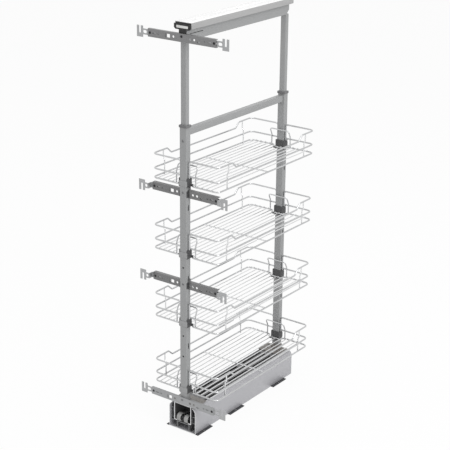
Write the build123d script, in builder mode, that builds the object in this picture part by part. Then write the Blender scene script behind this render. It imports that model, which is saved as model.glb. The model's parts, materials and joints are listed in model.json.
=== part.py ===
from build123d import *
import os

os.makedirs("parts", exist_ok=True)

# Pull out pantry frame. The origin is the centre of the underside, +Z is up and the door side is -Y.

# Overall sizes
base_length = 532.0
base_width = 103.0
base_height = 88.5
post_setback = 16.0
bottom_basket_rise = 42.1
basket_pitch = 223.1
basket_count = 4
cut_over = 5.0
seat_gap = 0.3
running_fit = 0.05

# Base housing
housing_wall = 2.0
shoulder_radius = 20.0
lip_half_gap = 39.0
tab_width = 10.5
tab_thickness = 2.0
tab_hole_radius = 2.5
tab_length = 76.0
tab_place_shares = [-0.4286, -0.1109, 0.3421]

# Carriage
carriage_half_width = 33.0
carriage_wall = 2.5
carriage_rise = 0.5
carriage_bottom = 27.0
carriage_foot = 9.0
deck_slot_width = 8.0
side_slot_near = 17.0
side_slot_width = 9.0
side_slot_gap = 26.0
side_slot_count = 3
deck_slot_setback = 78.0
carriage_end_setback = 2.0
carriage_rear_setback = 4.0

# Rollers
roller_radius = 14.0
roller_height = 38.0
roller_width = 14.0
roller_inner_x = 7.0
roller_setback = 10.0
axle_radius = 3.0
axle_head = 1.5
axle_head_radius = 5.0
runway_half_width = 24.0
runway_wall = 1.5
runway_flange = 8.0
runway_front_setback = 4.0
runway_rear_setback = 22.0
stop_thickness = 2.0
stop_half_width = 16.0
stop_height = 58.0
stop_foot = 16.0
pad_thickness = 1.7
pad_half_width = 30.0

# Telescopic slides
slide_bottom = 20.0
slide_clearance = 4.5
slide_wall = 1.5
slide_flange = 9.0
middle_wall = 1.4
middle_offset = 1.3
middle_flange = 8.7
inner_flange = 10.5
ball_radius = 1.75
ball_pitch = 20.0
ball_count = 15
cage_strip = 0.8
cage_width = 3.0
outer_ball_inset = 6.5
inner_ball_inset = 8.0
slide_end_setback = 8.0
middle_end_setback = 14.0

# Posts
lower_width = 25.0
lower_depth = 20.0
upper_width = 20.0
upper_depth = 15.0
tube_wall = 2.0
tube_corner = 2.0
lower_rise = 179.6
upper_insertion = 110.0
upper_rise = 247.0
collar_proud = 2.0
collar_drop = 5.0
collar_rise = 2.0
post_slot_drop = 69.0
post_slot_height = 19.0
post_slot_width = 4.5
post_hole_drop = 35.0
post_hole_radius = 3.0
spare_hole_drop = 103.5
lock_screw_drop = 45.0
foot_half_width = 46.0
foot_length = 57.0
foot_thickness = 2.5
foot_socket_height = 15.0
foot_socket_wall = 2.5
foot_boss_radius = 7.0
foot_boss_height = 3.0
foot_boss_x = 28.0
foot_boss_y = 34.0
foot_hole_x = 28.0
foot_hole_y = 14.0
foot_hole_radius = 3.5

# Crossbar
bar_width = 16.0
bar_height = 20.0
bar_drop = 29.5
bar_wall = 1.5
bar_plate = 2.0
bar_plate_drop = 9.0
bar_plate_hole = 2.5

# Top rail, track and guides
rail_half_width = 12.0
rail_height = 33.0
rail_wall = 1.5
rail_front_over = 7.0
rail_rear_over = 5.0
rail_cut = 14.0
rail_slot_length = 62.0
rail_slot_height = 2.0
rail_slot_rise = 19.0
track_half_width = 29.0
track_gap = 2.0
track_height = 18.0
track_rear_over = 3.0
track_wall = 1.5
track_lip_x = 14.0
track_hole_radius = 2.5
track_hole_pitch = 200.0
track_hole_count = 3
guide_plate = 6.0
guide_head_drop = 3.0
guide_head_height = 16.0
guide_stem_half_width = 11.5
guide_block_length = 40.0
guide_neck_half_width = 9.0
guide_recess = 1.5
guide_recess_margin = 4.0
guide_chamfer = 5.0

# Door brackets
bracket_overhang = 0.6
bracket_height = 24.0
bracket_wall = 1.5
nest_setback = 8.0
bracket_top_rise = 9.5
bracket_second_drop = 25.9
bracket_third_drop = 91.5
bracket_screw_rise = 3.8
window_near = 41.0
window_far = 53.0
window_height = 10.0
notch_near = 54.5
notch_far = 58.0
eye_place_shares = [-0.239, 0.247, 0.37]
eye_radius = 3.5
drop_slot_x = 60.0
drop_slot_length = 9.0
drop_slot_fall = 5.0
small_eye_inset = 38.5
small_eye_radius = 2.5
web_slot_inset = 23.5
web_slot_length = 12.0
web_slot_width = 4.0
nest_tab_width = 6.0
nest_tab_height = 12.0
holder_height = 19.0
holder_thickness = 1.5
arm_height = 17.0
arm_thickness = 2.0
arm_inner_inset = 67.5
arm_end_over = 26.5
arm_loop_near_over = 5.5
arm_loop_far_over = 19.5
arm_loop_height = 9.0
arm_step_over = 6.3
arm_travel = 6.0
fork_over = 20.0
fork_width = 22.0
fork_height = 33.0
fork_slot_width = 7.0
fork_slot_depth = 22.0

# Screws
screw_radius = 2.0
screw_head_radius = 4.0
screw_head = 1.5
screw_inset = 7.5

# Baskets
rim_half_width = 120.9
rim_wire = 5.0
rim_corner = 15.0
mid_rail_rise = 28.3
top_rail_rise = 73.3
low_rail_rise = 56.5
step_near = 163.0
step_far = 182.0
step_bend = 9.0
turn_down_bend = 8.0
jog_outer_x = 29.0
jog_inner_x = 21.0
jog_bend = 5.0
strut_wire = 4.0
strut_y = 201.0
strut_jog_top = 50.0
strut_jog_bottom = 43.0
strut_bend = 6.0
loop_leg_x = 35.5
loop_knee = 35.0
loop_top = 58.0
loop_lean = 11.0
loop_bend = 9.0
floor_wire = 3.0
floor_pitch = 17.8
floor_count = 12

# Basket clips
clip_wall = 3.0
clip_rise = 22.5
clip_ledge = 6.0
clip_ledge_thickness = 2.0
clip_ledge_half_width = 20.0
strap_thickness = 1.5
strap_drop = 2.0
strap_rise = 15.0

# Places worked out from the sizes above
base_half_length = base_length / 2
post_centre_y = base_half_length - post_setback
door_plane = -base_half_length
carriage_top = base_height + carriage_rise
slide_height = base_height - shoulder_radius - slide_clearance - slide_bottom
bottom_basket_level = carriage_top + bottom_basket_rise
basket_levels = [bottom_basket_level + basket_pitch * step for step in range(basket_count - 1, -1, -1)]
lower_top = basket_levels[0] + lower_rise
upper_top = lower_top + upper_rise
upper_bottom = lower_top - upper_insertion
collar_bottom = lower_top - collar_drop
collar_top = lower_top + collar_rise
lock_screw_height = lower_top - lock_screw_drop
bar_bottom = lower_top - bar_drop
rail_top = upper_top + rail_height
rail_front = -post_centre_y - rail_front_over
rail_rear = post_centre_y + rail_rear_over
track_bottom = rail_top + track_gap
track_top = track_bottom + track_height
track_front = rail_front
track_rear = post_centre_y + track_rear_over
guide_head_bottom = track_bottom - guide_head_drop
guide_head_top = guide_head_bottom + guide_head_height
bracket_top_level = upper_top + bracket_top_rise
bracket_second_level = basket_levels[0] - bracket_second_drop
bracket_third_level = basket_levels[1] - bracket_third_drop
spare_hole_height = basket_levels[2] - spare_hole_drop
bracket_half_length = rim_half_width + bracket_overhang
small_eye_x = bracket_half_length - small_eye_inset
web_slot_x = bracket_half_length - web_slot_inset
screw_x = bracket_half_length - screw_inset
arm_inner_x = bracket_half_length - arm_inner_inset
arm_end_x = bracket_half_length + arm_end_over
arm_loop_near = bracket_half_length + arm_loop_near_over
arm_loop_far = bracket_half_length + arm_loop_far_over
arm_step_x = bracket_half_length + arm_step_over
fork_near = bracket_half_length + fork_over
fork_far = fork_near + fork_width
nest_plane = -post_centre_y - lower_depth / 2 + nest_setback
base_half_width = base_width / 2
carriage_front = -base_half_length + carriage_end_setback
carriage_rear = base_half_length - carriage_rear_setback
slide_top = slide_bottom + slide_height
track_wall_x = base_half_width - housing_wall
runway_top = roller_height - roller_radius - seat_gap
post_front_face = -post_centre_y - lower_depth / 2
clip_half_width = lower_width / 2 + clip_wall
turn_down_x = lower_width / 2 + seat_gap + rim_wire / 2
floor_rise = rim_wire / 2 + floor_wire / 2
jog_y = post_centre_y - lower_depth / 2 - clip_wall - seat_gap - rim_wire / 2
arm_plane = door_plane + bracket_wall + seat_gap
bracket_bottom_level = carriage_top + bracket_height / 2
nest_tab_near = clip_half_width + 2 * seat_gap
middle_outer_x = track_wall_x - slide_wall - middle_offset
middle_top = slide_top - slide_wall - 2 * (ball_radius + running_fit)
middle_bottom = slide_bottom + slide_wall + 2 * (ball_radius + running_fit)
inner_top = middle_top - middle_wall - 2 * (ball_radius + running_fit)
inner_bottom = middle_bottom + middle_wall + 2 * (ball_radius + running_fit)


def save(piece, name):
    piece.part.label = name
    export_step(piece.part, "parts/" + name + ".step")


def cross_plane(y):
    # A plane square to Y: its own x is X and its own y is Z, and it extrudes towards the door
    return Plane.XZ.offset(-y)


def side_plane(x):
    # A plane square to X: its own x is Y and its own y is Z, and it extrudes towards +X
    return Plane.YZ.offset(x)


def rectangle_between(x0, x1, z0, z1, mode=Mode.ADD):
    with Locations(((x0 + x1) / 2, (z0 + z1) / 2)):
        Rectangle(abs(x1 - x0), abs(z1 - z0), mode=mode)


def box_between(x0, x1, y0, y1, z0, z1, mode=Mode.ADD):
    with Locations(((x0 + x1) / 2, (y0 + y1) / 2, (z0 + z1) / 2)):
        Box(abs(x1 - x0), abs(y1 - y0), abs(z1 - z0), mode=mode)


def rod(points, bends, diameter, close=False):
    # A round wire along straight runs joined by tangent arcs
    with BuildLine() as path:
        FilletPolyline(*points, radius=bends, close=close)
    with BuildSketch(Plane(origin=path.line @ 0, z_dir=path.line % 0)) as section:
        Circle(diameter / 2)
    sweep(section.sketch, path=path.line)


def screw(x, y_head, z, reach, toward=1):
    # A screw along Y with its head flat on the plane y_head and its shank running away from the door
    with BuildSketch(cross_plane(y_head)) as head:
        with Locations((x, z)):
            Circle(screw_head_radius)
    extrude(head.sketch, amount=screw_head * toward)
    with BuildSketch(cross_plane(y_head)) as shank:
        with Locations((x, z)):
            Circle(screw_radius)
    extrude(shank.sketch, amount=-reach * toward)


# Base housing: a channel with rounded shoulders that turn in to two lips
def make_base_housing():
    with BuildPart() as housing:
        with BuildSketch(cross_plane(base_half_length)):
            with BuildSketch(mode=Mode.PRIVATE) as outline:
                rectangle_between(-base_half_width, base_half_width, 0, base_height)
                fillet(outline.vertices().group_by(Axis.Y)[-1], shoulder_radius)
            add(outline.sketch)
            offset(outline.sketch, amount=-housing_wall, kind=Kind.INTERSECTION, mode=Mode.SUBTRACT)
            rectangle_between(-lip_half_gap, lip_half_gap, base_height / 2, base_height + cut_over, Mode.SUBTRACT)
        extrude(amount=base_length)
    save(housing, "base_housing")


def make_floor_tabs():
    with BuildPart() as tabs:
        for side in (-1, 1):
            for share in tab_place_shares:
                near = side * base_half_width
                far = side * (base_half_width + tab_width)
                middle = share * base_length
                box_between(near, far, middle - tab_length / 2, middle + tab_length / 2, 0, tab_thickness)
                with Locations(((near + far) / 2, middle, 0)):
                    Cylinder(tab_hole_radius, 2 * (tab_thickness + cut_over), mode=Mode.SUBTRACT)
    save(tabs, "floor_tabs")


def make_roller_runway():
    front = -base_half_length + runway_front_setback
    rear = base_half_length - runway_rear_setback
    inner = runway_half_width - runway_wall
    with BuildPart() as runway:
        with BuildSketch(cross_plane(rear)):
            rectangle_between(-runway_half_width, runway_half_width, housing_wall, runway_top)
            rectangle_between(-inner, inner, housing_wall, runway_top - runway_wall, Mode.SUBTRACT)
            for side in (-1, 1):
                outer = side * (runway_half_width + runway_flange)
                rectangle_between(side * inner, outer, housing_wall, housing_wall + runway_wall)
        extrude(amount=rear - front)
    save(runway, "roller_runway")


def make_rear_stop():
    rear = base_half_length
    with BuildPart() as stop:
        with BuildSketch(side_plane(-stop_half_width)):
            rectangle_between(rear - stop_foot, rear, housing_wall, housing_wall + stop_thickness)
            rectangle_between(rear - stop_thickness, rear, housing_wall, stop_height)
        extrude(amount=2 * stop_half_width)
    save(stop, "rear_stop")
    pad_rear = rear - stop_thickness
    with BuildPart() as pad:
        box_between(-pad_half_width, pad_half_width, pad_rear - pad_thickness, pad_rear,
                    stop_height / 2, stop_height)
    save(pad, "stop_pad")


# Carriage: an upside down channel that runs between the lips of the housing
def make_carriage_channel():
    inner = carriage_half_width - carriage_wall
    with BuildPart() as channel:
        with BuildSketch(cross_plane(carriage_rear)):
            rectangle_between(-carriage_half_width, carriage_half_width, carriage_bottom, carriage_top)
            rectangle_between(-inner, inner, carriage_bottom, carriage_top - carriage_wall, Mode.SUBTRACT)
            for side in (-1, 1):
                toe = side * (inner - carriage_foot)
                rectangle_between(side * inner, toe, carriage_bottom, carriage_bottom + carriage_wall)
        extrude(amount=carriage_rear - carriage_front)
        with BuildSketch(side_plane(-carriage_half_width - cut_over)):
            for y in roller_places():
                with Locations((y, roller_height)):
                    Circle(axle_radius + running_fit)
        extrude(amount=2 * (carriage_half_width + cut_over), mode=Mode.SUBTRACT)
        deck_slots()
    save(channel, "carriage_channel")


def deck_slots():
    # One long slot down the middle of the deck and a row of shorter ones on each side
    length = base_length - 2 * deck_slot_setback
    short = (length - (side_slot_count - 1) * side_slot_gap) / side_slot_count
    with BuildSketch(Plane.XY.offset(carriage_top + cut_over)) as slots:
        SlotOverall(length, deck_slot_width, rotation=90)
        for side in (-1, 1):
            with Locations((side * (side_slot_near + side_slot_width / 2), 0)):
                with GridLocations(0, short + side_slot_gap, 1, side_slot_count):
                    SlotOverall(short, side_slot_width, rotation=90)
    extrude(slots.sketch, amount=-carriage_wall - 2 * cut_over, mode=Mode.SUBTRACT)


def roller_places():
    return (-base_half_length + roller_setback + carriage_end_setback, base_half_length / 2)


def make_rollers():
    with BuildPart() as axles:
        for y in roller_places():
            reach = carriage_half_width
            with BuildSketch(side_plane(-reach)):
                with Locations((y, roller_height)):
                    Circle(axle_radius)
            extrude(amount=2 * reach)
            for side in (-1, 1):
                with BuildSketch(side_plane(side * (reach - carriage_wall))):
                    with Locations((y, roller_height)):
                        Circle(axle_head_radius)
                extrude(amount=-side * axle_head)
    save(axles, "roller_axles")
    for name, y in zip(("front_rollers", "rear_rollers"), roller_places()):
        with BuildPart() as rollers:
            for side in (-1, 1):
                start = side * roller_inner_x
                with BuildSketch(side_plane(start)):
                    with Locations((y, roller_height)):
                        Circle(roller_radius)
                        Circle(axle_radius + running_fit, mode=Mode.SUBTRACT)
                extrude(amount=side * roller_width)
            with BuildSketch(side_plane(-roller_inner_x)):
                with Locations((y, roller_height)):
                    Circle(axle_head_radius)
                    Circle(axle_radius + running_fit, mode=Mode.SUBTRACT)
            extrude(amount=2 * roller_inner_x)
        save(rollers, name)


# Telescopic slides: each member is a shallow channel, with rows of balls between the flanges
def slide_member(side, web_x, wall, flange, bottom, top, length):
    # The flanges point from the web towards web_x + flange
    reach = web_x + flange
    step = wall if flange > 0 else -wall
    with BuildSketch(cross_plane(0)) as section:
        rectangle_between(side * web_x, side * (web_x + step), bottom, top)
        rectangle_between(side * web_x, side * reach, bottom, bottom + wall)
        rectangle_between(side * web_x, side * reach, top - wall, top)
    extrude(section.sketch, amount=length / 2, both=True)


def make_slides():
    names = {1: "right", -1: "left"}
    outer_length = base_length - 2 * slide_end_setback
    middle_length = base_length - 2 * middle_end_setback
    for side, word in names.items():
        with BuildPart() as outer:
            slide_member(side, track_wall_x, slide_wall, -slide_flange, slide_bottom, slide_top, outer_length)
        save(outer, "outer_track_" + word)
        with BuildPart() as middle:
            slide_member(side, middle_outer_x, middle_wall, -middle_flange, middle_bottom, middle_top,
                         middle_length)
        save(middle, "middle_slide_" + word)
        with BuildPart() as inner:
            slide_member(side, carriage_half_width, middle_wall, inner_flange, inner_bottom, inner_top,
                         outer_length)
        save(inner, "inner_slide_" + word)


def ball_row(x, z):
    row_length = ball_pitch * ball_count
    box_between(x - cage_width / 2, x + cage_width / 2, -row_length / 2, row_length / 2,
                z - cage_strip / 2, z + cage_strip / 2)
    for index in range(ball_count):
        with Locations((x, ball_pitch * (index - (ball_count - 1) / 2), z)):
            Sphere(ball_radius)


def make_ball_cages():
    lift = ball_radius + running_fit
    with BuildPart() as outer_cages:
        for side in (-1, 1):
            x = side * (track_wall_x - outer_ball_inset)
            ball_row(x, middle_top + lift)
            ball_row(x, middle_bottom - lift)
    save(outer_cages, "outer_ball_cages")
    with BuildPart() as inner_cages:
        for side in (-1, 1):
            x = side * (carriage_half_width + inner_ball_inset)
            ball_row(x, inner_top + lift)
            ball_row(x, inner_bottom - lift)
    save(inner_cages, "inner_ball_cages")


# Posts: the lower tubes stand on the carriage and the upper tubes slide inside them
def tube_section(width, depth):
    RectangleRounded(width, depth, tube_corner)
    Rectangle(width - 2 * tube_wall, depth - 2 * tube_wall, mode=Mode.SUBTRACT)


def post_side_slots(y):
    for level in basket_levels[:-1]:
        with BuildSketch(side_plane(-lower_width / 2 - cut_over)) as slot:
            with Locations((y, level - post_slot_drop)):
                SlotOverall(post_slot_height, post_slot_width, rotation=90)
        extrude(slot.sketch, amount=lower_width + 2 * cut_over, mode=Mode.SUBTRACT)


def front_holes(levels, radius):
    with BuildSketch(cross_plane(-post_centre_y)) as holes:
        for level in levels:
            with Locations((0, level)):
                Circle(radius)
    extrude(holes.sketch, amount=lower_depth / 2 + cut_over, mode=Mode.SUBTRACT)


def bracket_notch(level):
    half = bracket_height / 2 + seat_gap
    box_between(-lower_width, lower_width, nest_plane - seat_gap, -post_centre_y + lower_depth,
                level - half, level + half, Mode.SUBTRACT)


def make_posts():
    hole_levels = [level - post_hole_drop for level in basket_levels[1:3]] + [spare_hole_height]
    nest_levels = (bracket_second_level, bracket_third_level)
    screw_levels = [lock_screw_height] + [level + bracket_screw_rise for level in nest_levels]
    with BuildPart() as front:
        with BuildSketch(Plane.XY.offset(carriage_top)):
            with Locations((0, -post_centre_y)):
                tube_section(lower_width, lower_depth)
        extrude(amount=lower_top - carriage_top)
        post_side_slots(-post_centre_y)
        front_holes(hole_levels, post_hole_radius)
        front_holes(screw_levels, screw_radius + running_fit)
        for level in nest_levels:
            bracket_notch(level)
    save(front, "lower_post_front")
    with BuildPart() as rear:
        with BuildSketch(Plane.XY.offset(carriage_top)):
            with Locations((0, post_centre_y)):
                tube_section(lower_width, lower_depth)
        extrude(amount=lower_top - carriage_top)
        post_side_slots(post_centre_y)
        with BuildSketch(cross_plane(post_centre_y)):
            with Locations((0, lock_screw_height)):
                Circle(screw_radius + running_fit)
        extrude(amount=-lower_depth, mode=Mode.SUBTRACT)
    save(rear, "lower_post_rear")
    for name, y in (("upper_post_front", -post_centre_y), ("upper_post_rear", post_centre_y)):
        with BuildPart() as upper:
            with BuildSketch(Plane.XY.offset(upper_bottom)):
                with Locations((0, y)):
                    tube_section(upper_width, upper_depth)
            extrude(amount=upper_top - upper_bottom)
        save(upper, name)


def make_collars():
    with BuildPart() as collars:
        for y in (-post_centre_y, post_centre_y):
            with BuildSketch(Plane.XY.offset(collar_bottom)):
                with Locations((0, y)):
                    RectangleRounded(lower_width + 2 * collar_proud, lower_depth + 2 * collar_proud, tube_corner)
            extrude(amount=collar_top - collar_bottom)
            with BuildSketch(Plane.XY.offset(collar_bottom)):
                with Locations((0, y)):
                    Rectangle(lower_width, lower_depth)
            extrude(amount=lower_top - collar_bottom, mode=Mode.SUBTRACT)
            with BuildSketch(Plane.XY.offset(lower_top)):
                with Locations((0, y)):
                    Rectangle(upper_width + 2 * seat_gap, upper_depth + 2 * seat_gap)
            extrude(amount=cut_over, mode=Mode.SUBTRACT)
    save(collars, "post_collars")


def make_post_feet():
    half_x = lower_width / 2
    for name, end in (("front_post_foot", -1), ("rear_post_foot", 1)):
        outer_y = end * (post_centre_y + lower_depth / 2)
        inner_face = end * (post_centre_y - lower_depth / 2)
        back_y = inner_face - end * foot_socket_wall
        with BuildPart() as foot:
            box_between(-foot_half_width, foot_half_width, outer_y, outer_y - end * foot_length,
                        carriage_top, carriage_top + foot_thickness)
            box_between(-half_x - foot_socket_wall, half_x + foot_socket_wall, outer_y, back_y,
                        carriage_top, carriage_top + foot_socket_height)
            for side in (-1, 1):
                with Locations((side * foot_boss_x, outer_y - end * foot_boss_y, carriage_top + foot_thickness)):
                    Cylinder(foot_boss_radius, 2 * foot_boss_height)
            box_between(-foot_half_width, foot_half_width, outer_y, outer_y - end * foot_length,
                        carriage_top - cut_over, carriage_top, Mode.SUBTRACT)
            box_between(-half_x, half_x, outer_y, inner_face,
                        carriage_top, carriage_top + foot_socket_height, Mode.SUBTRACT)
            for side in (-1, 1):
                with Locations((side * foot_hole_x, outer_y - end * foot_hole_y, carriage_top)):
                    Cylinder(foot_hole_radius, 2 * cut_over, mode=Mode.SUBTRACT)
        save(foot, name)


# Crossbar: a tube between the lower posts, with an end plate welded on each end
def make_crossbar():
    face = post_centre_y - lower_depth / 2
    with BuildPart() as bar:
        with BuildSketch(cross_plane(0)):
            rectangle_between(-bar_width / 2, bar_width / 2, bar_bottom, bar_bottom + bar_height)
            rectangle_between(-bar_width / 2 + bar_wall, bar_width / 2 - bar_wall,
                              bar_bottom + bar_wall, bar_bottom + bar_height - bar_wall, Mode.SUBTRACT)
        extrude(amount=face - bar_plate, both=True)
        for end in (-1, 1):
            box_between(-bar_width / 2, bar_width / 2, end * face, end * (face - bar_plate),
                        bar_bottom - bar_plate_drop, bar_bottom + bar_height)
            with BuildSketch(cross_plane(end * face)):
                with Locations((0, bar_bottom - bar_plate_drop / 2)):
                    Circle(bar_plate_hole)
            extrude(amount=end * (bar_plate + cut_over), mode=Mode.SUBTRACT)
    save(bar, "crossbar")


# Top rail, the track above it and the guides between them
def make_top_rail():
    bottom_inner = upper_top + rail_wall
    with BuildPart() as rail:
        with BuildSketch(cross_plane(rail_rear)):
            rectangle_between(-rail_half_width, rail_half_width, upper_top, rail_top)
            rectangle_between(-rail_half_width + rail_wall, rail_half_width - rail_wall,
                              bottom_inner, rail_top - rail_wall, Mode.SUBTRACT)
        extrude(amount=rail_rear - rail_front)
        with BuildSketch(side_plane(-rail_half_width - cut_over)):
            with BuildLine():
                Polyline((rail_rear + cut_over, upper_top - cut_over),
                         (rail_rear - rail_cut, upper_top - cut_over),
                         (rail_rear - rail_cut, upper_top),
                         (rail_rear, upper_top + rail_cut),
                         (rail_rear + cut_over, upper_top + rail_cut), close=True)
            make_face()
        extrude(amount=2 * (rail_half_width + cut_over), mode=Mode.SUBTRACT)
        with BuildSketch(side_plane(-rail_half_width - cut_over)):
            with Locations((rail_front + rail_slot_length / 2 + rail_cut, upper_top + rail_slot_rise)):
                SlotOverall(rail_slot_length, rail_slot_height)
        extrude(amount=2 * (rail_half_width + cut_over), mode=Mode.SUBTRACT)
    save(rail, "top_rail")


def make_top_track():
    inner = track_half_width - track_wall
    with BuildPart() as track:
        with BuildSketch(cross_plane(track_rear)):
            rectangle_between(-track_half_width, track_half_width, track_bottom, track_top)
            rectangle_between(-inner, inner, track_bottom + track_wall, track_top - track_wall, Mode.SUBTRACT)
            rectangle_between(-track_lip_x, track_lip_x, track_bottom, track_bottom + track_wall, Mode.SUBTRACT)
        extrude(amount=track_rear - track_front)
        with Locations((0, (track_front + track_rear) / 2, track_top)):
            with GridLocations(0, track_hole_pitch, 1, track_hole_count):
                Cylinder(track_hole_radius, 2 * (track_wall + cut_over), mode=Mode.SUBTRACT)
    save(track, "top_track")


def guide_block(y0, y1):
    inner = track_half_width - track_wall - seat_gap
    floor = track_bottom + track_wall + seat_gap
    box_between(-inner, inner, y0, y1, floor, track_top - track_wall - seat_gap)
    box_between(-guide_neck_half_width, guide_neck_half_width, y0, y1, rail_top, floor)


def make_top_guides():
    plate_back = rail_front
    plate_front = plate_back - guide_plate
    stem_bottom = bracket_top_level + bracket_height / 2
    with BuildPart() as front:
        with BuildSketch(cross_plane(plate_back - seat_gap)) as head:
            rectangle_between(-track_half_width, track_half_width, guide_head_bottom, guide_head_top)
            chamfer(head.vertices().group_by(Axis.Y)[0], guide_chamfer)
            rectangle_between(-guide_stem_half_width, guide_stem_half_width, stem_bottom, guide_head_bottom)
        extrude(amount=guide_plate - seat_gap)
        with BuildSketch(cross_plane(plate_front + guide_recess)):
            rectangle_between(-track_half_width + 2 * guide_recess_margin, track_half_width - 2 * guide_recess_margin,
                              guide_head_bottom + guide_recess_margin, guide_head_top - guide_recess_margin)
        extrude(amount=guide_recess + cut_over, mode=Mode.SUBTRACT)
        box_between(-guide_neck_half_width, guide_neck_half_width, plate_back - guide_plate / 2, track_front,
                    track_bottom + track_wall + seat_gap, guide_head_top)
        guide_block(track_front, track_front + guide_block_length)
    save(front, "top_guide_front")
    with BuildPart() as rear:
        guide_block(track_rear - guide_block_length - rail_cut, track_rear - rail_cut)
    save(rear, "top_guide_rear")


# Door brackets: channels across the front, with an arm and a fork at each end
def bracket_web_holes(level, y_face):
    with BuildSketch(cross_plane(y_face + bracket_wall + cut_over)) as holes:
        with Locations((0, level + bracket_screw_rise)):
            Circle(screw_radius + running_fit)
        for near, far in ((window_near, window_far), (notch_near, notch_far)):
            with Locations((-(near + far) / 2, level)):
                Rectangle(far - near, window_height)
        for share in eye_place_shares:
            with Locations((share * bracket_half_length, level)):
                Circle(eye_radius)
        with Locations((drop_slot_x, level - drop_slot_fall)):
            SlotOverall(drop_slot_length, web_slot_width)
        for side in (-1, 1):
            with Locations((side * small_eye_x, level)):
                Circle(small_eye_radius)
            with Locations((side * web_slot_x, level)):
                SlotOverall(web_slot_length, web_slot_width)
            with Locations((side * screw_x, level)):
                Circle(screw_radius + running_fit)
    extrude(holes.sketch, amount=bracket_wall + 2 * cut_over, mode=Mode.SUBTRACT)


def bracket_channel(level, y_face, y_back):
    half = bracket_height / 2
    box_between(-bracket_half_length, bracket_half_length, y_face, y_face + bracket_wall,
                level - half, level + half)
    for edge in (-1, 1):
        box_between(-bracket_half_length, bracket_half_length, y_face, y_back,
                    level + edge * half, level + edge * (half - bracket_wall))
    bracket_web_holes(level, y_face)


def make_brackets():
    upper_front_face = -post_centre_y - upper_depth / 2
    with BuildPart() as top:
        bracket_channel(bracket_top_level, door_plane, upper_front_face)
    save(top, "bracket_top")
    with BuildPart() as bottom:
        bracket_channel(bracket_bottom_level, door_plane, post_front_face)
    save(bottom, "bracket_bottom")
    nest_back = -post_centre_y + lower_depth / 2
    for name, level in (("bracket_second", bracket_second_level), ("bracket_third", bracket_third_level)):
        with BuildPart() as nested:
            bracket_channel(level, nest_plane, nest_back)
            box_between(nest_tab_near, nest_tab_near + nest_tab_width, nest_plane, nest_plane + bracket_wall,
                        level, level + bracket_height / 2 + nest_tab_height)
        save(nested, name)


def make_bracket_holders():
    with BuildPart() as holders:
        for level in (bracket_second_level, bracket_third_level):
            for side in (-1, 1):
                near = side * lower_width / 2
                box_between(near, near + side * holder_thickness, post_front_face + seat_gap,
                            nest_plane - seat_gap, level - holder_height / 2, level + holder_height / 2)
    save(holders, "bracket_holders")


def fork_outline(side, level, opens):
    # A plate with one slot that opens up (1) or down (-1)
    near = side * fork_near
    far = side * fork_far
    rectangle_between(near, far, level - fork_height / 2, level + fork_height / 2)
    tip = level + opens * fork_height / 2
    middle = (near + far) / 2
    half = fork_slot_width / 2
    rectangle_between(middle - half, middle + half, tip, tip - opens * (fork_slot_depth - half), Mode.SUBTRACT)
    with Locations((middle, tip - opens * (fork_slot_depth - half))):
        Circle(half, mode=Mode.SUBTRACT)


def arm_strip(side, level, near, far):
    rectangle_between(side * near, side * far, level - arm_height / 2, level + arm_height / 2)


def screw_slot(side, level):
    with Locations((side * screw_x, level)):
        SlotOverall(2 * (arm_travel + screw_radius + seat_gap), 2 * (screw_radius + seat_gap), mode=Mode.SUBTRACT)


def arm_loop(side, level, near):
    with Locations((side * (near + arm_loop_far) / 2, level)):
        SlotOverall(arm_loop_far - near, arm_loop_height, mode=Mode.SUBTRACT)


def flat_arm(side, level, opens, name):
    with BuildPart() as arm:
        with BuildSketch(cross_plane(arm_plane + arm_thickness)):
            arm_strip(side, level, arm_inner_x, arm_end_x)
            fork_outline(side, level, opens)
            screw_slot(side, level)
            arm_loop(side, level, arm_loop_near)
        extrude(amount=arm_thickness)
    save(arm, name)


def stepped_arm(side, level, opens, name):
    inner_front = nest_plane + bracket_wall + seat_gap
    with BuildPart() as arm:
        with BuildSketch(cross_plane(inner_front + arm_thickness)):
            arm_strip(side, level, arm_inner_x, arm_step_x + arm_thickness)
            screw_slot(side, level)
        extrude(amount=arm_thickness)
        box_between(side * arm_step_x, side * (arm_step_x + arm_thickness), arm_plane,
                    inner_front + arm_thickness, level - arm_height / 2, level + arm_height / 2)
        with BuildSketch(cross_plane(arm_plane + arm_thickness)):
            arm_strip(side, level, arm_step_x, arm_end_x)
            fork_outline(side, level, opens)
            arm_loop(side, level, arm_step_x + 2 * arm_thickness)
        extrude(amount=arm_thickness)
    save(arm, name)


def make_arms():
    for side, word in ((-1, "left"), (1, "right")):
        flat_arm(side, bracket_top_level, 1, "arm_top_" + word)
        stepped_arm(side, bracket_second_level, -1, "arm_second_" + word)
        stepped_arm(side, bracket_third_level, -1, "arm_third_" + word)
        flat_arm(side, bracket_bottom_level, 1, "arm_bottom_" + word)


def make_screws():
    flat_reach = bracket_wall + arm_thickness + 2 * seat_gap
    with BuildPart() as arm_screws:
        for side in (-1, 1):
            screw(side * screw_x, door_plane, bracket_bottom_level, flat_reach)
            for level in (bracket_second_level, bracket_third_level):
                screw(side * screw_x, nest_plane, level, flat_reach)
    save(arm_screws, "arm_screws")
    post_reach = nest_plane + bracket_wall - post_front_face
    with BuildPart() as bracket_screws:
        for level in (bracket_second_level, bracket_third_level):
            screw(0, post_front_face, level + bracket_screw_rise, post_reach)
        screw(0, door_plane, bracket_bottom_level + bracket_screw_rise, post_front_face - door_plane)
    save(bracket_screws, "bracket_screws")
    upper_face = -post_centre_y - upper_depth / 2
    lock_reach = upper_face - post_front_face - seat_gap
    with BuildPart() as lock_screws:
        screw(0, post_front_face, lock_screw_height, lock_reach)
        screw(0, -post_front_face, lock_screw_height, lock_reach, -1)
    save(lock_screws, "lock_screws")
    with BuildPart() as upper_screws:
        for side in (-1, 1):
            screw(side * screw_x, door_plane, bracket_top_level, flat_reach)
        screw(0, door_plane, bracket_top_level + bracket_screw_rise, rail_front - door_plane)
    save(upper_screws, "upper_screws")


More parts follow.
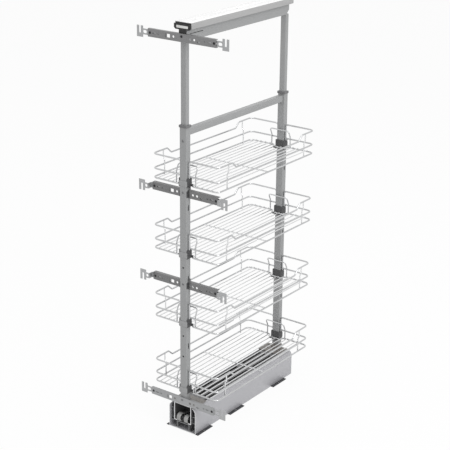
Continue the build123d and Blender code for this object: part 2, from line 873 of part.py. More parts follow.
# Baskets: bent and welded wire
def bottom_rim(level):
    # A closed ring that steps inwards round each post
    w = rim_half_width
    e = post_centre_y
    half = [(w, e), (jog_outer_x, e), (jog_inner_x, jog_y), (-jog_inner_x, jog_y), (-jog_outer_x, e), (-w, e)]
    ring = half + [(-x, -y) for x, y in half]
    bends = [rim_corner, jog_bend, jog_bend, jog_bend, jog_bend, rim_corner] * 2
    rod([(x, y, level) for x, y in ring], bends, rim_wire, close=True)


def mid_rail(side, level):
    z = level + mid_rail_rise
    x = side * rim_half_width
    end = side * (turn_down_x + rim_wire / 2)
    rod([(end, -post_centre_y, z), (x, -post_centre_y, z), (x, post_centre_y, z), (end, post_centre_y, z)],
        [rim_corner, rim_corner], rim_wire)


def top_rail_wire(side, level):
    x = side * rim_half_width
    near = side * turn_down_x
    high = level + top_rail_rise
    low = level + low_rail_rise
    foot = level + clip_rise + seat_gap
    e = post_centre_y
    half = [(near, -e, foot), (near, -e, high), (x, -e, high), (x, -step_far, high), (x, -step_near, low)]
    rear = [(px, -py, pz) for px, py, pz in reversed(half)]
    bends = [turn_down_bend, rim_corner, step_bend, step_bend]
    rod(half + rear, bends + bends[::-1], rim_wire)


def strut(side, y, level):
    x = side * rim_half_width
    inner = side * (rim_half_width - (rim_wire + strut_wire) / 2)
    top = level + top_rail_rise - rim_wire / 2
    rod([(x, y, top), (x, y, level + strut_jog_top), (inner, y, level + strut_jog_bottom),
         (inner, y, level - rim_wire / 2)], [strut_bend, strut_bend], strut_wire)


def end_loop(end, level):
    y = end * (post_centre_y - (rim_wire + strut_wire) / 2)
    top_y = y - end * loop_lean
    bottom = level - rim_wire / 2
    knee = level + loop_knee
    top = level + loop_top
    x = loop_leg_x
    rod([(-x, y, bottom), (-x, y, knee), (-x, top_y, top), (x, top_y, top), (x, y, knee), (x, y, bottom)],
        [loop_bend] * 4, strut_wire)


def make_baskets():
    for number, level in enumerate(basket_levels, start=1):
        with BuildPart() as rails:
            bottom_rim(level)
            for side in (-1, 1):
                mid_rail(side, level)
                top_rail_wire(side, level)
                end_loop(side, level)
        save(rails, "basket_" + str(number) + "_rails")
        with BuildPart() as grid:
            for index in range(floor_count):
                x = floor_pitch * (index - (floor_count - 1) / 2)
                reach = post_centre_y if abs(x) > jog_outer_x else jog_y
                with BuildSketch(cross_plane(reach)):
                    with Locations((x, level + floor_rise)):
                        Circle(floor_wire / 2)
                extrude(amount=2 * reach)
            cross_end = rim_half_width - rim_wire / 2 - seat_gap
            cross_rise = floor_rise - (floor_wire + strut_wire) / 2
            with BuildSketch(side_plane(-cross_end)):
                with Locations((0, level + cross_rise)):
                    Circle(strut_wire / 2)
            extrude(amount=2 * cross_end)
            for side in (-1, 1):
                for y in (-strut_y, strut_y):
                    strut(side, y, level)
        save(grid, "basket_" + str(number) + "_grid")


# Clips that carry the baskets on the posts
def basket_clip(end, level):
    outer = end * (post_centre_y + lower_depth / 2)
    inner = end * (post_centre_y - lower_depth / 2)
    back = inner - end * clip_wall
    ledge_top = level - rim_wire / 2 - seat_gap
    low = ledge_top - clip_ledge_thickness
    high = level + clip_rise
    box_between(-clip_half_width, clip_half_width, outer, back, low, high)
    box_between(-clip_ledge_half_width, clip_ledge_half_width, inner, back - end * clip_ledge, low, ledge_top)
    box_between(-lower_width / 2, lower_width / 2, outer, inner, low, high, Mode.SUBTRACT)


def make_clips():
    for number, level in enumerate(basket_levels, start=1):
        with BuildPart() as clips:
            for end in (-1, 1):
                basket_clip(end, level)
        save(clips, "basket_clips_" + str(number))
    with BuildPart() as straps:
        for level in basket_levels:
            for end in (-1, 1):
                outer = end * (post_centre_y + lower_depth / 2)
                box_between(-clip_half_width, clip_half_width, outer, outer + end * strap_thickness,
                            level - strap_drop, level + strap_rise)
    save(straps, "clip_straps")


make_base_housing()
make_floor_tabs()
make_roller_runway()
make_rear_stop()
make_carriage_channel()
make_rollers()
make_slides()
make_ball_cages()
make_posts()
make_collars()
make_post_feet()
make_crossbar()
make_top_rail()
make_top_track()
make_top_guides()
make_brackets()
make_bracket_holders()
make_arms()
make_screws()
make_baskets()
make_clips()
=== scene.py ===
import bpy
import bmesh
import json
import math
from mathutils import Matrix, Vector


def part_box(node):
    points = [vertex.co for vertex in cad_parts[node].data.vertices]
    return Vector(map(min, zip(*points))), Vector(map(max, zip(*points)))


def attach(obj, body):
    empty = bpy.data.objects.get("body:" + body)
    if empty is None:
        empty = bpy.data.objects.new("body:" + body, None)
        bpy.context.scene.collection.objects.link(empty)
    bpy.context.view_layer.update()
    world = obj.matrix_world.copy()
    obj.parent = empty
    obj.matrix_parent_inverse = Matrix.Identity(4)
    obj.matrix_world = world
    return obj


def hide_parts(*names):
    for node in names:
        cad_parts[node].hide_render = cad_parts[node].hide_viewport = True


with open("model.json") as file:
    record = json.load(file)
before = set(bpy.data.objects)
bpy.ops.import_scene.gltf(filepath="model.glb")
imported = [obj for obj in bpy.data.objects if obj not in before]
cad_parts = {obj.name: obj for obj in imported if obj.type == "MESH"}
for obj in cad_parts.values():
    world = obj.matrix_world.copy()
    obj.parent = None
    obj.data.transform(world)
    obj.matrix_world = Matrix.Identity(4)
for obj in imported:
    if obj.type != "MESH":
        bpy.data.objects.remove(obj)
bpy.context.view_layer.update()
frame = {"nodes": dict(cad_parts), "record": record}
SLOT_OF = {part["node"]: part["material_slot"] for part in frame["record"]["subparts"]}
BODY_OF = {node: body for body, nodes in frame["record"]["behaviour"]["bodies"].items() for node in nodes}
MM = 0.001  # in metres, the scene's unit

# Camera at the photograph's viewing angle, fitted to the baskets' corners and the posts
CAMERA_PLACE = (2.2485, -3.1092, 2.0130)
CAMERA_YAW = 0.6341
CAMERA_PITCH = 0.3522
CAMERA_ROLL = -0.0097
CAMERA_REACH = 40.0
SENSOR = 36.0
FRAME_PIXELS = 450.0
FOCAL_PIXELS = 1314.2


def linked_object(name, data):
    thing = bpy.data.objects.new(name, data)
    bpy.context.collection.objects.link(thing)
    return thing


def add_camera():
    data = bpy.data.cameras.new("photo_camera")
    data.sensor_width = SENSOR
    data.lens = FOCAL_PIXELS / FRAME_PIXELS * SENSOR
    data.clip_end = CAMERA_REACH
    camera = linked_object("photo_camera", data)
    turn = Matrix.Rotation(CAMERA_YAW, 4, "Z") @ Matrix.Rotation(math.pi / 2 - CAMERA_PITCH, 4, "X")
    turn = turn @ Matrix.Rotation(-CAMERA_ROLL, 4, "Z")
    camera.matrix_world = Matrix.Translation(CAMERA_PLACE) @ turn
    bpy.context.scene.camera = camera


# Shader values: a sum, product or comparison of wrapped sockets adds its Math node
class Value:
    def __init__(self, finish, socket):
        self.finish = finish
        self.socket = socket

    def join(self, operation, other):
        return self.finish.node("ShaderNodeMath", {"operation": operation}, {0: self, 1: other})

    def __add__(self, other):
        return self.join("ADD", other)

    def __mul__(self, other):
        return self.join("MULTIPLY", other)

    def __gt__(self, other):
        return self.join("GREATER_THAN", other)


# Sockets of the Mix node in colour mode, which has several of each name
MIX_FACTOR = 0
MIX_FIRST = 6
MIX_SECOND = 7
MIX_RESULT = 2
# How far a face looks up or forward at least to count as a top face, which gets a painted highlight, or a
# cut end
HIGHLIGHT_TOP_LEAN = 0.8
CUT_END_LEAN = 0.7
DIRECT_RAYS = ("Is Camera Ray", "Is Glossy Ray", "Is Transmission Ray")


class Finish:
    def __init__(self, name, tree_owner=None):
        self.material = tree_owner or bpy.data.materials.new(name)
        self.material.use_nodes = True
        self.tree = self.material.node_tree
        self.tree.nodes.clear()

    def node(self, kind, settings=None, inputs=None, output=0):
        node = self.tree.nodes.new(kind)
        for key, value in (settings or {}).items():
            setattr(node, key, value)
        for key, value in (inputs or {}).items():
            if isinstance(value, Value):
                self.tree.links.new(value.socket, node.inputs[key])
            else:
                node.inputs[key].default_value = value
        return Value(self, node.outputs[output]) if node.outputs else node

    def places(self):
        return self.node("ShaderNodeTexCoord", output="Object")

    def stretched(self, scale):
        return self.node("ShaderNodeMapping", inputs={"Vector": self.places(), "Scale": scale})

    def noise(self, vector, scale, detail=3.0, roughness=0.55):
        inputs = {"Vector": vector, "Scale": scale, "Detail": detail, "Roughness": roughness}
        return self.node("ShaderNodeTexNoise", inputs=inputs)

    def facing(self, axis):
        # How far the surface looks along an axis, from -1 to 1
        normal = self.node("ShaderNodeNewGeometry", output="Normal")
        return self.node("ShaderNodeSeparateXYZ", inputs={"Vector": normal}, output=axis)

    def seen_directly(self):
        # 1 for what the camera sees, also in a mirror or through glass, and 0 for what lights the object
        path = self.tree.nodes.new("ShaderNodeLightPath")
        camera, glossy, clear = (Value(self, path.outputs[title]) for title in DIRECT_RAYS)
        return camera + glossy + clear

    def blend(self, factor, first, second):
        first, second = (part if isinstance(part, Value) else (*part, 1) for part in (first, second))
        inputs = {MIX_FACTOR: factor, MIX_FIRST: first, MIX_SECOND: second}
        return self.node("ShaderNodeMix", {"data_type": "RGBA"}, inputs, output=MIX_RESULT)

    def patched(self, factor, colour, spread):
        # From a darker to a lighter shade of the colour, as the factor goes from 0 to 1
        return self.blend(factor, shade(colour, 1 - spread), shade(colour, 1 + spread))

    def with_bare_ends(self, colour, ends):
        return self.blend(self.facing("Y") * -1 > CUT_END_LEAN, colour, ends)

    def bump(self, height, strength, distance):
        inputs = {"Height": height, "Strength": strength, "Distance": distance}
        return self.node("ShaderNodeBump", inputs=inputs)

    def surface(self, inputs):
        shader = self.node("ShaderNodeBsdfPrincipled", inputs=inputs)
        self.node("ShaderNodeOutputMaterial", inputs={"Surface": shader})
        return self.material


def shade(colour, amount):
    return tuple(min(1.0, channel * amount) for channel in colour)


def spread_about(middle, spread, factor):
    return factor * spread + (middle - spread / 2)


def powder_coat(name, colour, roughness=0.42, metallic=0.2, top=None, ends=None):
    # top is a painted highlight, the lighter colour of the faces that look up, and ends that of the bare
    # cut ends
    coat = Finish(name)
    cloud = coat.noise(coat.places(), scale=9.0)
    grain = coat.noise(coat.places(), scale=400.0, detail=2.0)
    colour = coat.patched(cloud, colour, spread=0.05)
    # The top colour is a painted highlight on the faces that look up
    if top:
        colour = coat.blend(coat.facing("Z") > HIGHLIGHT_TOP_LEAN, colour, top)
    if ends:
        colour = coat.with_bare_ends(colour, ends)
    return coat.surface({
        "Base Color": colour,
        "Metallic": metallic,
        "Roughness": spread_about(roughness, spread=0.1, factor=cloud),
        "Normal": coat.bump(grain, strength=0.05, distance=0.05 * MM),
    })


LONG_STREAK = (90.0, 2.0, 90.0)
ROUND_STREAK = (60.0, 60.0, 60.0)
STREAK_SHARE = 0.55


def zinc_plate(name, colour, roughness=0.36, metallic=0.65, streak=LONG_STREAK, ends=None):
    zinc = Finish(name)
    lines = zinc.noise(zinc.stretched(streak), scale=4.0, detail=4.0)
    cloud = zinc.noise(zinc.places(), scale=22.0, detail=4.0)
    mixed = lines * STREAK_SHARE + cloud * (1 - STREAK_SHARE)
    colour = zinc.patched(mixed, colour, spread=0.12)
    if ends:
        colour = zinc.with_bare_ends(colour, ends)
    return zinc.surface({
        "Base Color": colour,
        "Metallic": metallic,
        "Roughness": spread_about(roughness, spread=0.2, factor=mixed),
        "Normal": zinc.bump(lines, strength=0.08, distance=0.06 * MM),
    })


def chrome_plate(name, colour, roughness=0.14):
    chrome = Finish(name)
    cloud = chrome.noise(chrome.places(), scale=40.0)
    return chrome.surface({
        "Base Color": chrome.patched(cloud, colour, spread=0.12),
        "Metallic": 1.0,
        "Roughness": spread_about(roughness, spread=0.1, factor=cloud),
        "Normal": chrome.bump(cloud, strength=0.05, distance=0.15 * MM),
    })


def moulded_plastic(name, colour, roughness=0.5):
    plastic = Finish(name)
    grain = plastic.noise(plastic.places(), scale=1400.0, detail=2.0)
    cloud = plastic.noise(plastic.places(), scale=35.0)
    return plastic.surface({
        "Base Color": plastic.patched(cloud, colour, spread=0.12),
        "Roughness": spread_about(roughness, spread=0.12, factor=cloud),
        "Normal": plastic.bump(grain, strength=0.2, distance=0.08 * MM),
    })


BARE_CUT = (0.82, 0.82, 0.83)
MATERIALS = {
    "grey_steel": powder_coat("grey_steel", (0.345, 0.35, 0.352)),
    # The track's top faces get a painted highlight, lighter than its sides
    "highlit_track_steel": powder_coat("highlit_track_steel", (0.42, 0.42, 0.42), top=(0.8, 0.8, 0.8)),
    "housing_steel": powder_coat("housing_steel", (0.47, 0.47, 0.49), ends=BARE_CUT),
    "foot_steel": powder_coat("foot_steel", (0.25, 0.235, 0.22)),
    "zinc_steel": zinc_plate("zinc_steel", (0.36, 0.365, 0.37)),
    # A darker copy of the zinc: painted shade on the carriage under the lowest basket, with bare cut ends
    "shaded_deck_steel": zinc_plate("shaded_deck_steel", (0.2, 0.2, 0.203), ends=BARE_CUT),
    # Darker copies of the bracket zinc: painted shade on the top, second and third brackets
    "shaded_bracket": zinc_plate("shaded_bracket", (0.24, 0.24, 0.242)),
    "deep_shaded_bracket": zinc_plate("deep_shaded_bracket", (0.2, 0.2, 0.202)),
    "arm_steel": zinc_plate("arm_steel", (0.42, 0.425, 0.43)),
    "dark_steel": powder_coat("dark_steel", (0.055, 0.055, 0.06), roughness=0.5, metallic=0.1),
    "grey_plastic": moulded_plastic("grey_plastic", (0.17, 0.17, 0.175)),
    "black_plastic": moulded_plastic("black_plastic", (0.012, 0.012, 0.012)),
    "white_plastic": moulded_plastic("white_plastic", (0.8, 0.8, 0.78)),
    "dark_plastic": moulded_plastic("dark_plastic", (0.065, 0.065, 0.067)),
    "chrome_wire": chrome_plate("chrome_wire", (0.55, 0.555, 0.56)),
    # A lighter copy of the chrome: painted highlight on the basket floor wires
    "highlit_floor_wire": chrome_plate("highlit_floor_wire", (0.75, 0.755, 0.76), roughness=0.2),
    "weld_metal": chrome_plate("weld_metal", (0.4, 0.4, 0.4), roughness=0.3),
    "roller_plastic": moulded_plastic("roller_plastic", (0.36, 0.36, 0.355), roughness=0.35),
    "screw_steel": zinc_plate("screw_steel", (0.22, 0.22, 0.225), roughness=0.3, metallic=0.85,
                              streak=ROUND_STREAK),
    "black_screw": zinc_plate("black_screw", (0.03, 0.03, 0.032), roughness=0.35, metallic=0.6,
                              streak=ROUND_STREAK),
    "ball_steel": zinc_plate("ball_steel", (0.45, 0.45, 0.45), roughness=0.2, metallic=0.9,
                             streak=ROUND_STREAK),
    "rubber": moulded_plastic("rubber", (0.02, 0.02, 0.02), roughness=0.7),
}
# Nodes that look unlike the rest of their material slot, among them painted light and shade: the track's
# highlit top, the shaded carriage and brackets and the highlit floor wires
OWN_FINISH = {
    "top_track": "highlit_track_steel", "clip_straps": "grey_steel", "carriage_channel": "shaded_deck_steel",
    "arm_screws": "black_screw", "upper_screws": "black_screw",
    "bracket_top": "shaded_bracket", "bracket_second": "deep_shaded_bracket", "bracket_third": "deep_shaded_bracket",
}
OWN_FINISH.update({name: "highlit_floor_wire" for name in SLOT_OF if name.endswith("_grid")})


def finish_of(name):
    return MATERIALS[OWN_FINISH.get(name, SLOT_OF[name])]


def dress_frame():
    for name, node in frame["nodes"].items():
        node.data.materials.clear()
        node.data.materials.append(finish_of(name))


# Finished pieces: each mesh is made in place, so its object stays at the origin
SHARP_ANGLE = math.radians(35)


def add_piece(name, mesh, stands_for=None, body=None, finish=None):
    piece = linked_object(name, mesh)
    mesh.materials.clear()
    mesh.materials.append(finish or finish_of(stands_for))
    mesh.shade_smooth()
    mesh.set_sharp_from_angle(angle=SHARP_ANGLE)
    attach(piece, body or BODY_OF[stands_for])
    if stands_for:
        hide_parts(stands_for)
    return piece


def baked(thing):
    # The mesh that an object's modifiers give, after which the object is removed
    shot = thing.evaluated_get(bpy.context.evaluated_depsgraph_get())
    mesh = bpy.data.meshes.new_from_object(shot)
    bpy.data.objects.remove(thing)
    return mesh


def loose_object(name, shape):
    mesh = bpy.data.meshes.new(name)
    shape.to_mesh(mesh)
    shape.free()
    return linked_object(name, mesh)


def block(name, middle, sizes):
    shape = bmesh.new()
    place = Matrix.Translation(middle) @ Matrix.Diagonal((*sizes, 1))
    bmesh.ops.create_cube(shape, size=1.0, matrix=place)
    return loose_object(name, shape)


# Solids of the frame
WELD_REACH = 0.01 * MM


def welded(name):
    # A node's mesh with the doubled corners of its faces joined
    shape = bmesh.new()
    shape.from_mesh(frame["nodes"][name].data)
    bmesh.ops.remove_doubles(shape, verts=shape.verts, dist=WELD_REACH)
    return shape


def solid_boxes(name):
    # The lowest and highest corner of each separate solid of a node
    shape = welded(name)
    left = set(shape.verts)
    boxes = []
    while left:
        waiting = [left.pop()]
        corners = []
        while waiting:
            vert = waiting.pop()
            corners.append(vert.co.copy())
            for edge in vert.link_edges:
                other = edge.other_vert(vert)
                if other in left:
                    left.discard(other)
                    waiting.append(other)
        low = Vector([min(corner[axis] for corner in corners) for axis in range(3)])
        high = Vector([max(corner[axis] for corner in corners) for axis in range(3)])
        boxes.append((low, high))
    shape.free()
    return sorted(boxes, key=lambda box: tuple(box[0]))


# Rounded edges: bent sheet and mouldings have no knife edges. The widths are in millimetres
EDGE_WIDTHS = {
    "base_housing": 0.5, "carriage_channel": 0.5, "floor_tabs": 0.4, "rear_stop": 0.4, "stop_pad": 0.4,
    "front_post_foot": 0.7, "rear_post_foot": 0.7, "crossbar": 0.5, "post_collars": 0.7,
    "top_rail": 0.5, "top_track": 0.4, "top_guide_front": 0.8, "top_guide_rear": 0.8,
    "bracket_top": 0.35, "bracket_second": 0.35, "bracket_third": 0.35, "bracket_bottom": 0.35,
    "bracket_holders": 0.3, "clip_straps": 0.4,
}
ARM_EDGE = 0.5
CLIP_EDGE = 0.8
EDGE_WIDTHS.update({name: ARM_EDGE for name in SLOT_OF if name.startswith("arm_") and name != "arm_screws"})
EDGE_WIDTHS.update({name: CLIP_EDGE for name in SLOT_OF if name.startswith("basket_clips")})
EDGE_SEGMENTS = 2
EDGE_ANGLE = math.radians(50)
FLAT_ANGLE = 0.01


def bevel(thing, width, segments):
    edges = thing.modifiers.new("edges", "BEVEL")
    edges.width = width * MM
    edges.segments = segments
    edges.limit_method = "ANGLE"
    edges.angle_limit = EDGE_ANGLE


def round_edges(name, width):
    shape = welded(name)
    bmesh.ops.dissolve_limit(shape, angle_limit=FLAT_ANGLE, verts=shape.verts, edges=shape.edges)
    thing = loose_object(name + "_blank", shape)
    bevel(thing, width, EDGE_SEGMENTS)
    add_piece(name + "_rounded", baked(thing), name)


# Repeats: one node tree sets a copy of a small piece on each point
TREE_INPUTS = (("Points", "Geometry"), ("Piece", "Object"), ("Finish", "Material"), ("Size", "Float"))
TREE_NODES = {
    "given": "NodeGroupInput",
    "piece": "GeometryNodeObjectInfo",
    "turn": "GeometryNodeInputNamedAttribute",
    "around": "ShaderNodeCombineXYZ",
    "rotation": "FunctionNodeEulerToRotation",
    "copies": "GeometryNodeInstanceOnPoints",
    "real": "GeometryNodeRealizeInstances",
    "painted": "GeometryNodeSetMaterial",
    "result": "NodeGroupOutput",
}
TREE_WIRES = (
    ("given", "Piece", "piece", "Object"), ("turn", "Attribute", "around", "Z"),
    ("around", "Vector", "rotation", "Euler"), ("given", "Points", "copies", "Points"),
    ("piece", "Geometry", "copies", "Instance"), ("rotation", "Rotation", "copies", "Rotation"),
    ("given", "Size", "copies", "Scale"), ("copies", "Instances", "real", "Geometry"),
    ("real", "Geometry", "painted", "Geometry"), ("given", "Finish", "painted", "Material"),
    ("painted", "Geometry", "result", "Pieces"),
)


def set_on_points_tree():
    tree = bpy.data.node_groups.new("set_on_points", "GeometryNodeTree")
    for title, kind in TREE_INPUTS:
        tree.interface.new_socket(title, in_out="INPUT", socket_type="NodeSocket" + kind)
    tree.interface.new_socket("Pieces", in_out="OUTPUT", socket_type="NodeSocketGeometry")
    nodes = {title: tree.nodes.new(kind) for title, kind in TREE_NODES.items()}
    nodes["turn"].inputs["Name"].default_value = "turn"
    for start, output, end, entry in TREE_WIRES:
        tree.links.new(nodes[start].outputs[output], nodes[end].inputs[entry])
    return tree


SET_ON_POINTS = set_on_points_tree()


def set_on_points(name, places, turns, piece, finish, size=1.0):
    cloud = bpy.data.meshes.new(name)
    cloud.from_pydata(places, [], [])
    turn = cloud.attributes.new("turn", "FLOAT", "POINT")
    turn.data.foreach_set("value", turns)
    thing = linked_object(name, cloud)
    setter = thing.modifiers.new("set_on_points", "NODES")
    setter.node_group = SET_ON_POINTS
    given = {"Piece": piece, "Finish": finish, "Size": size}
    for socket in SET_ON_POINTS.interface.items_tree:
        if socket.in_out == "INPUT" and socket.name in given:
            setter[socket.identifier] = given[socket.name]
    return baked(thing)


TURN_MERGE = 0.001 * MM


def lathe(profile, steps, axis, closed=True):
    # An outline of points (place along the axis, radius), turned once round the axis.
    # Its faces are made one by one, so that they come in the same order in each run
    shape = bmesh.new()
    rings = []
    for step in range(steps):
        side = Matrix.Rotation(math.tau * step / steps, 3, axis) @ Vector((0, 0, 1))
        rings.append([shape.verts.new(axis * along + side * radius) for along, radius in profile])
    for ring, other in zip(rings, rings[1:] + rings[:1]):
        strip = list(zip(ring, other))
        following = strip[1:] + strip[:1] if closed else strip[1:]
        for (first, second), (fourth, third) in zip(strip, following):
            shape.faces.new((first, second, third, fourth))
    bmesh.ops.remove_doubles(shape, verts=shape.verts, dist=TURN_MERGE)
    bmesh.ops.recalc_face_normals(shape, faces=shape.faces)
    return shape


# Screws: a domed head with a cross recess on a ribbed shank
DOME_STEPS = 6
SCREW_STEPS = 24
HEAD_HEIGHT = 1.5 * MM
SHANK_SHARE = 0.5
THREAD_PITCH = 1.0 * MM
THREAD_DEPTH = 0.25 * MM
RECESS_WIDTH = 1.1 * MM
RECESS_SHARE = 1.15
RECESS_DEPTH_SHARE = 0.7


def cut_cross(thing, head_radius):
    # The head's top is at -HEAD_HEIGHT, and each bar of the cross reaches down from it
    reach = head_radius * RECESS_SHARE
    deep = HEAD_HEIGHT * RECESS_DEPTH_SHARE
    cutters = []
    for wide, tall in ((reach, RECESS_WIDTH), (RECESS_WIDTH, reach)):
        cutter = block("bar_cutter", (0, -HEAD_HEIGHT, 0), (wide, 2 * deep, tall))
        recess = thing.modifiers.new("recess", "BOOLEAN")
        recess.object = cutter
        recess.solver = "EXACT"
        cutters.append(cutter)
    mesh = baked(thing)
    for cutter in cutters:
        bpy.data.objects.remove(cutter)
    return mesh


def screw_blank(head_radius, length):
    shank_radius = head_radius * SHANK_SHARE
    dome = []
    for step in range(DOME_STEPS + 1):
        lean = step / DOME_STEPS * math.pi / 2
        dome.append((-HEAD_HEIGHT * math.cos(lean), head_radius * math.sin(lean)))
    shank = []
    for turn in range(int(length / THREAD_PITCH)):
        start = turn * THREAD_PITCH
        shank.append((start, shank_radius - THREAD_DEPTH))
        shank.append((start + THREAD_PITCH / 2, shank_radius))
    tip = [(length, shank_radius - THREAD_DEPTH), (length, 0.0)]
    shape = lathe(dome + shank + tip, SCREW_STEPS, Vector((0, 1, 0)), closed=False)
    return linked_object("screw", cut_cross(loose_object("screw_blank", shape), head_radius))


def add_screws(name):
    boxes = solid_boxes(name)
    low, high = boxes[0]
    length = min(top.y - bottom.y for bottom, top in boxes) - HEAD_HEIGHT
    blank = screw_blank((high.x - low.x) / 2, length)
    places, turns = [], []
    for bottom, top in boxes:
        rear = bottom.y > 0
        middle = (bottom + top) / 2
        places.append((middle.x, top.y - HEAD_HEIGHT if rear else bottom.y + HEAD_HEIGHT, middle.z))
        turns.append(math.pi if rear else 0.0)
    mesh = set_on_points(name + "_places", places, turns, blank, finish_of(name))
    bpy.data.objects.remove(blank)
    add_piece(name + "_turned", mesh, name)


# Basket welds: a small bead at each place where two wires cross
BASKET_COUNT = 4
BEAD_RADIUS = 2.1 * MM
BEAD_SQUASH = (1.0, 0.8, 0.6)
BEAD_ROUNDNESS = 2
BEAD_RIPPLE = 0.08
RIPPLES_ACROSS = 5
RIPPLES_UP = 3
RIM_RADIUS = 2.5 * MM
STRUT_RADIUS = 2.0 * MM
MID_RISE = 28.3 * MM
LONG_WIRE = 400.0 * MM
THIN_WIRE = 6.0 * MM


def bead_blank():
    shape = bmesh.new()
    bmesh.ops.create_icosphere(shape, subdivisions=BEAD_ROUNDNESS, radius=1.0)
    for vert in shape.verts:
        ripple = 1 + BEAD_RIPPLE * math.sin(RIPPLES_ACROSS * vert.co.x + RIPPLES_UP * vert.co.z)
        vert.co = Vector([part * ripple * squash for part, squash in zip(vert.co, BEAD_SQUASH)])
    return loose_object("bead_blank", shape)


def bead_places(number):
    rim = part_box("basket_%d_rails" % number)[0][2] + RIM_RADIUS
    mid = rim + MID_RISE
    places = []
    for low, high in solid_boxes("basket_%d_grid" % number) + solid_boxes("basket_%d_rails" % number):
        middle = (low + high) / 2
        size = high - low
        if size.y > LONG_WIRE and size.x < THIN_WIRE:
            # A floor wire
            places += [(middle.x, y, low.z) for y in (low.y, 0.0, high.y)]
        elif size.x > LONG_WIRE / 2 and size.y < THIN_WIRE:
            # The cross wire
            places += [(x, 0.0, rim) for x in (low.x, high.x)]
        elif size.y < THIN_WIRE:
            # A strut at the side
            outward = 1 if middle.x > 0 else -1
            inner = min(abs(low.x), abs(high.x)) + 2 * STRUT_RADIUS
            outer = max(abs(low.x), abs(high.x)) - STRUT_RADIUS
            places += [(outward * inner, middle.y, rim), (outward * inner, middle.y, mid)]
            places += [(outward * outer, middle.y, high.z)]
        elif size.y < LONG_WIRE:
            # An end loop
            y = high.y - STRUT_RADIUS if middle.y > 0 else low.y + STRUT_RADIUS
            for x in (low.x + STRUT_RADIUS, high.x - STRUT_RADIUS):
                places += [(x, y, rim), (x, y, mid)]
    return places


def add_beads(number):
    blank = bead_blank()
    places = bead_places(number)
    finish = MATERIALS["weld_metal"]
    mesh = set_on_points("bead_places", places, [0.0] * len(places), blank, finish, BEAD_RADIUS)
    bpy.data.objects.remove(blank)
    add_piece("basket_%d_welds" % number, mesh, body="basket_%d" % number, finish=finish)


# Rollers: a pair of wheels on one hub, with a dark bearing sunk in each outer face.
# Each point of the outline is a share of the half width and one of the radius
ROLLER_STEPS = 64
ROLLER_SHARES = [
    (0.9, 0.22), (0.9, 0.3), (0.78, 0.36), (0.78, 0.72), (0.98, 0.78), (1.0, 0.82), (1.0, 0.95),
    (0.96, 1.0), (0.37, 1.0), (0.333, 0.95), (0.333, 0.8), (0.45, 0.74), (0.45, 0.357),
]
DISH_SHARE = 0.76


def add_rollers(name):
    low, high = solid_boxes(name)[0]
    middle = (low + high) / 2
    radius = (high.z - low.z) / 2
    half = [(along * high.x, share * radius) for along, share in ROLLER_SHARES]
    other_half = [(-along, share) for along, share in reversed(half)]
    shape = lathe(half + other_half, ROLLER_STEPS, Vector((1, 0, 0)))
    bmesh.ops.translate(shape, verts=shape.verts, vec=(0, middle.y, middle.z))
    thing = loose_object(name + "_blank", shape)
    piece = add_piece(name + "_turned", baked(thing), name)
    piece.data.materials.append(MATERIALS["dark_plastic"])
    for face in piece.data.polygons:
        away = math.hypot(face.center.y - middle.y, face.center.z - middle.z)
        if away < DISH_SHARE * radius:
            face.material_index = 1


# Guide head: a pale insert snapped into its front recess
INSERT_MARGIN = 8.3 * MM
INSERT_PROUD = 1.2 * MM
INSERT_EDGE = 0.4
INSERT_SEGMENTS = 3
RECESS_DEPTH = 1.5 * MM
GUIDE_TALL = 16.0 * MM
GUIDE_DROP = 3.0 * MM


def add_guide_insert():
    low, high = (Vector(corner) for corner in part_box("top_guide_front"))
    middle_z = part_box("top_track")[0][2] - GUIDE_DROP + GUIDE_TALL / 2
    middle = (0, low.y + RECESS_DEPTH - INSERT_PROUD / 2, middle_z)
    sizes = (2 * (high.x - INSERT_MARGIN), INSERT_PROUD, GUIDE_TALL - INSERT_MARGIN)
    thing = block("insert_blank", middle, sizes)
    bevel(thing, INSERT_EDGE, INSERT_SEGMENTS)
    add_piece("guide_insert", baked(thing), body="upper_frame", finish=MATERIALS["white_plastic"])


# Floor and lights
FLOOR_SIZE = 30.0
FLOOR_PARTS = 4
FLOOR_WHITE = (0.85, 0.85, 0.85, 1)
FLOOR_GLOW_SHARE = 0.93  # the rest of the floor's look is lit, so that it keeps the shadow
WHITE = (1, 1, 1, 1)
SKY_LIGHT = 0.62
SKY_SEEN = 1.0
LAMP_TARGET = Vector((0, 0, 0.6))
LAMP_WATTS = 60.0


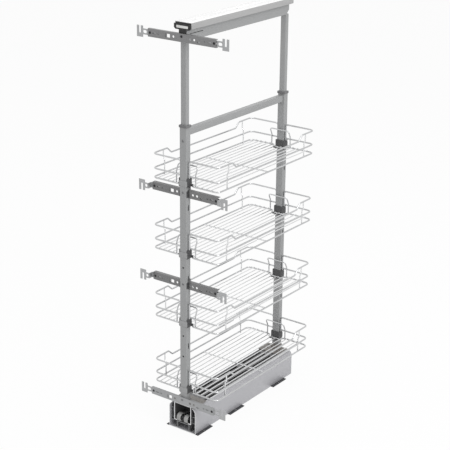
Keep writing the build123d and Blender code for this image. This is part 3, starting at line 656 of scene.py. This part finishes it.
def add_floor():
    bpy.ops.mesh.primitive_grid_add(x_subdivisions=FLOOR_PARTS, y_subdivisions=FLOOR_PARTS, size=FLOOR_SIZE)
    floor = bpy.context.object
    floor.name = "floor"
    paint = Finish("floor_paint")
    glow_share = paint.seen_directly() * FLOOR_GLOW_SHARE
    matte = paint.node("ShaderNodeBsdfDiffuse", inputs={"Color": FLOOR_WHITE})
    glow = paint.node("ShaderNodeEmission", inputs={"Color": WHITE, "Strength": SKY_SEEN})
    mixed = paint.node("ShaderNodeMixShader", inputs={0: glow_share, 1: matte, 2: glow})
    paint.node("ShaderNodeOutputMaterial", inputs={"Surface": mixed})
    floor.data.materials.append(paint.material)


def add_world():
    world = bpy.data.worlds.new("studio")
    bpy.context.scene.world = world
    sky = Finish("studio", world)
    soft = sky.node("ShaderNodeBackground", inputs={"Color": WHITE, "Strength": SKY_LIGHT})
    seen = sky.node("ShaderNodeBackground", inputs={"Color": WHITE, "Strength": SKY_SEEN})
    mixed = sky.node("ShaderNodeMixShader", inputs={0: sky.seen_directly(), 1: soft, 2: seen})
    sky.node("ShaderNodeOutputWorld", inputs={"Surface": mixed})


def add_lamp(name, place, size):
    data = bpy.data.lights.new(name, "AREA")
    data.size = size
    data.energy = LAMP_WATTS
    lamp = linked_object(name, data)
    lamp.location = place
    lamp.rotation_euler = (LAMP_TARGET - Vector(place)).to_track_quat("-Z", "Y").to_euler()


add_camera()
dress_frame()
for node_name, edge_width in EDGE_WIDTHS.items():
    round_edges(node_name, edge_width)
for node_name in ("arm_screws", "bracket_screws", "lock_screws", "upper_screws"):
    add_screws(node_name)
for basket_number in range(1, BASKET_COUNT + 1):
    add_beads(basket_number)
for node_name in ("front_rollers", "rear_rollers"):
    add_rollers(node_name)
add_guide_insert()
add_floor()
add_world()
add_lamp("key", place=(3.2, -1.0, 3.0), size=2.0)
add_lamp("top", place=(0.0, 0.0, 4.5), size=3.0)

view_settings = bpy.context.scene.view_settings
view_settings.view_transform = "Standard"
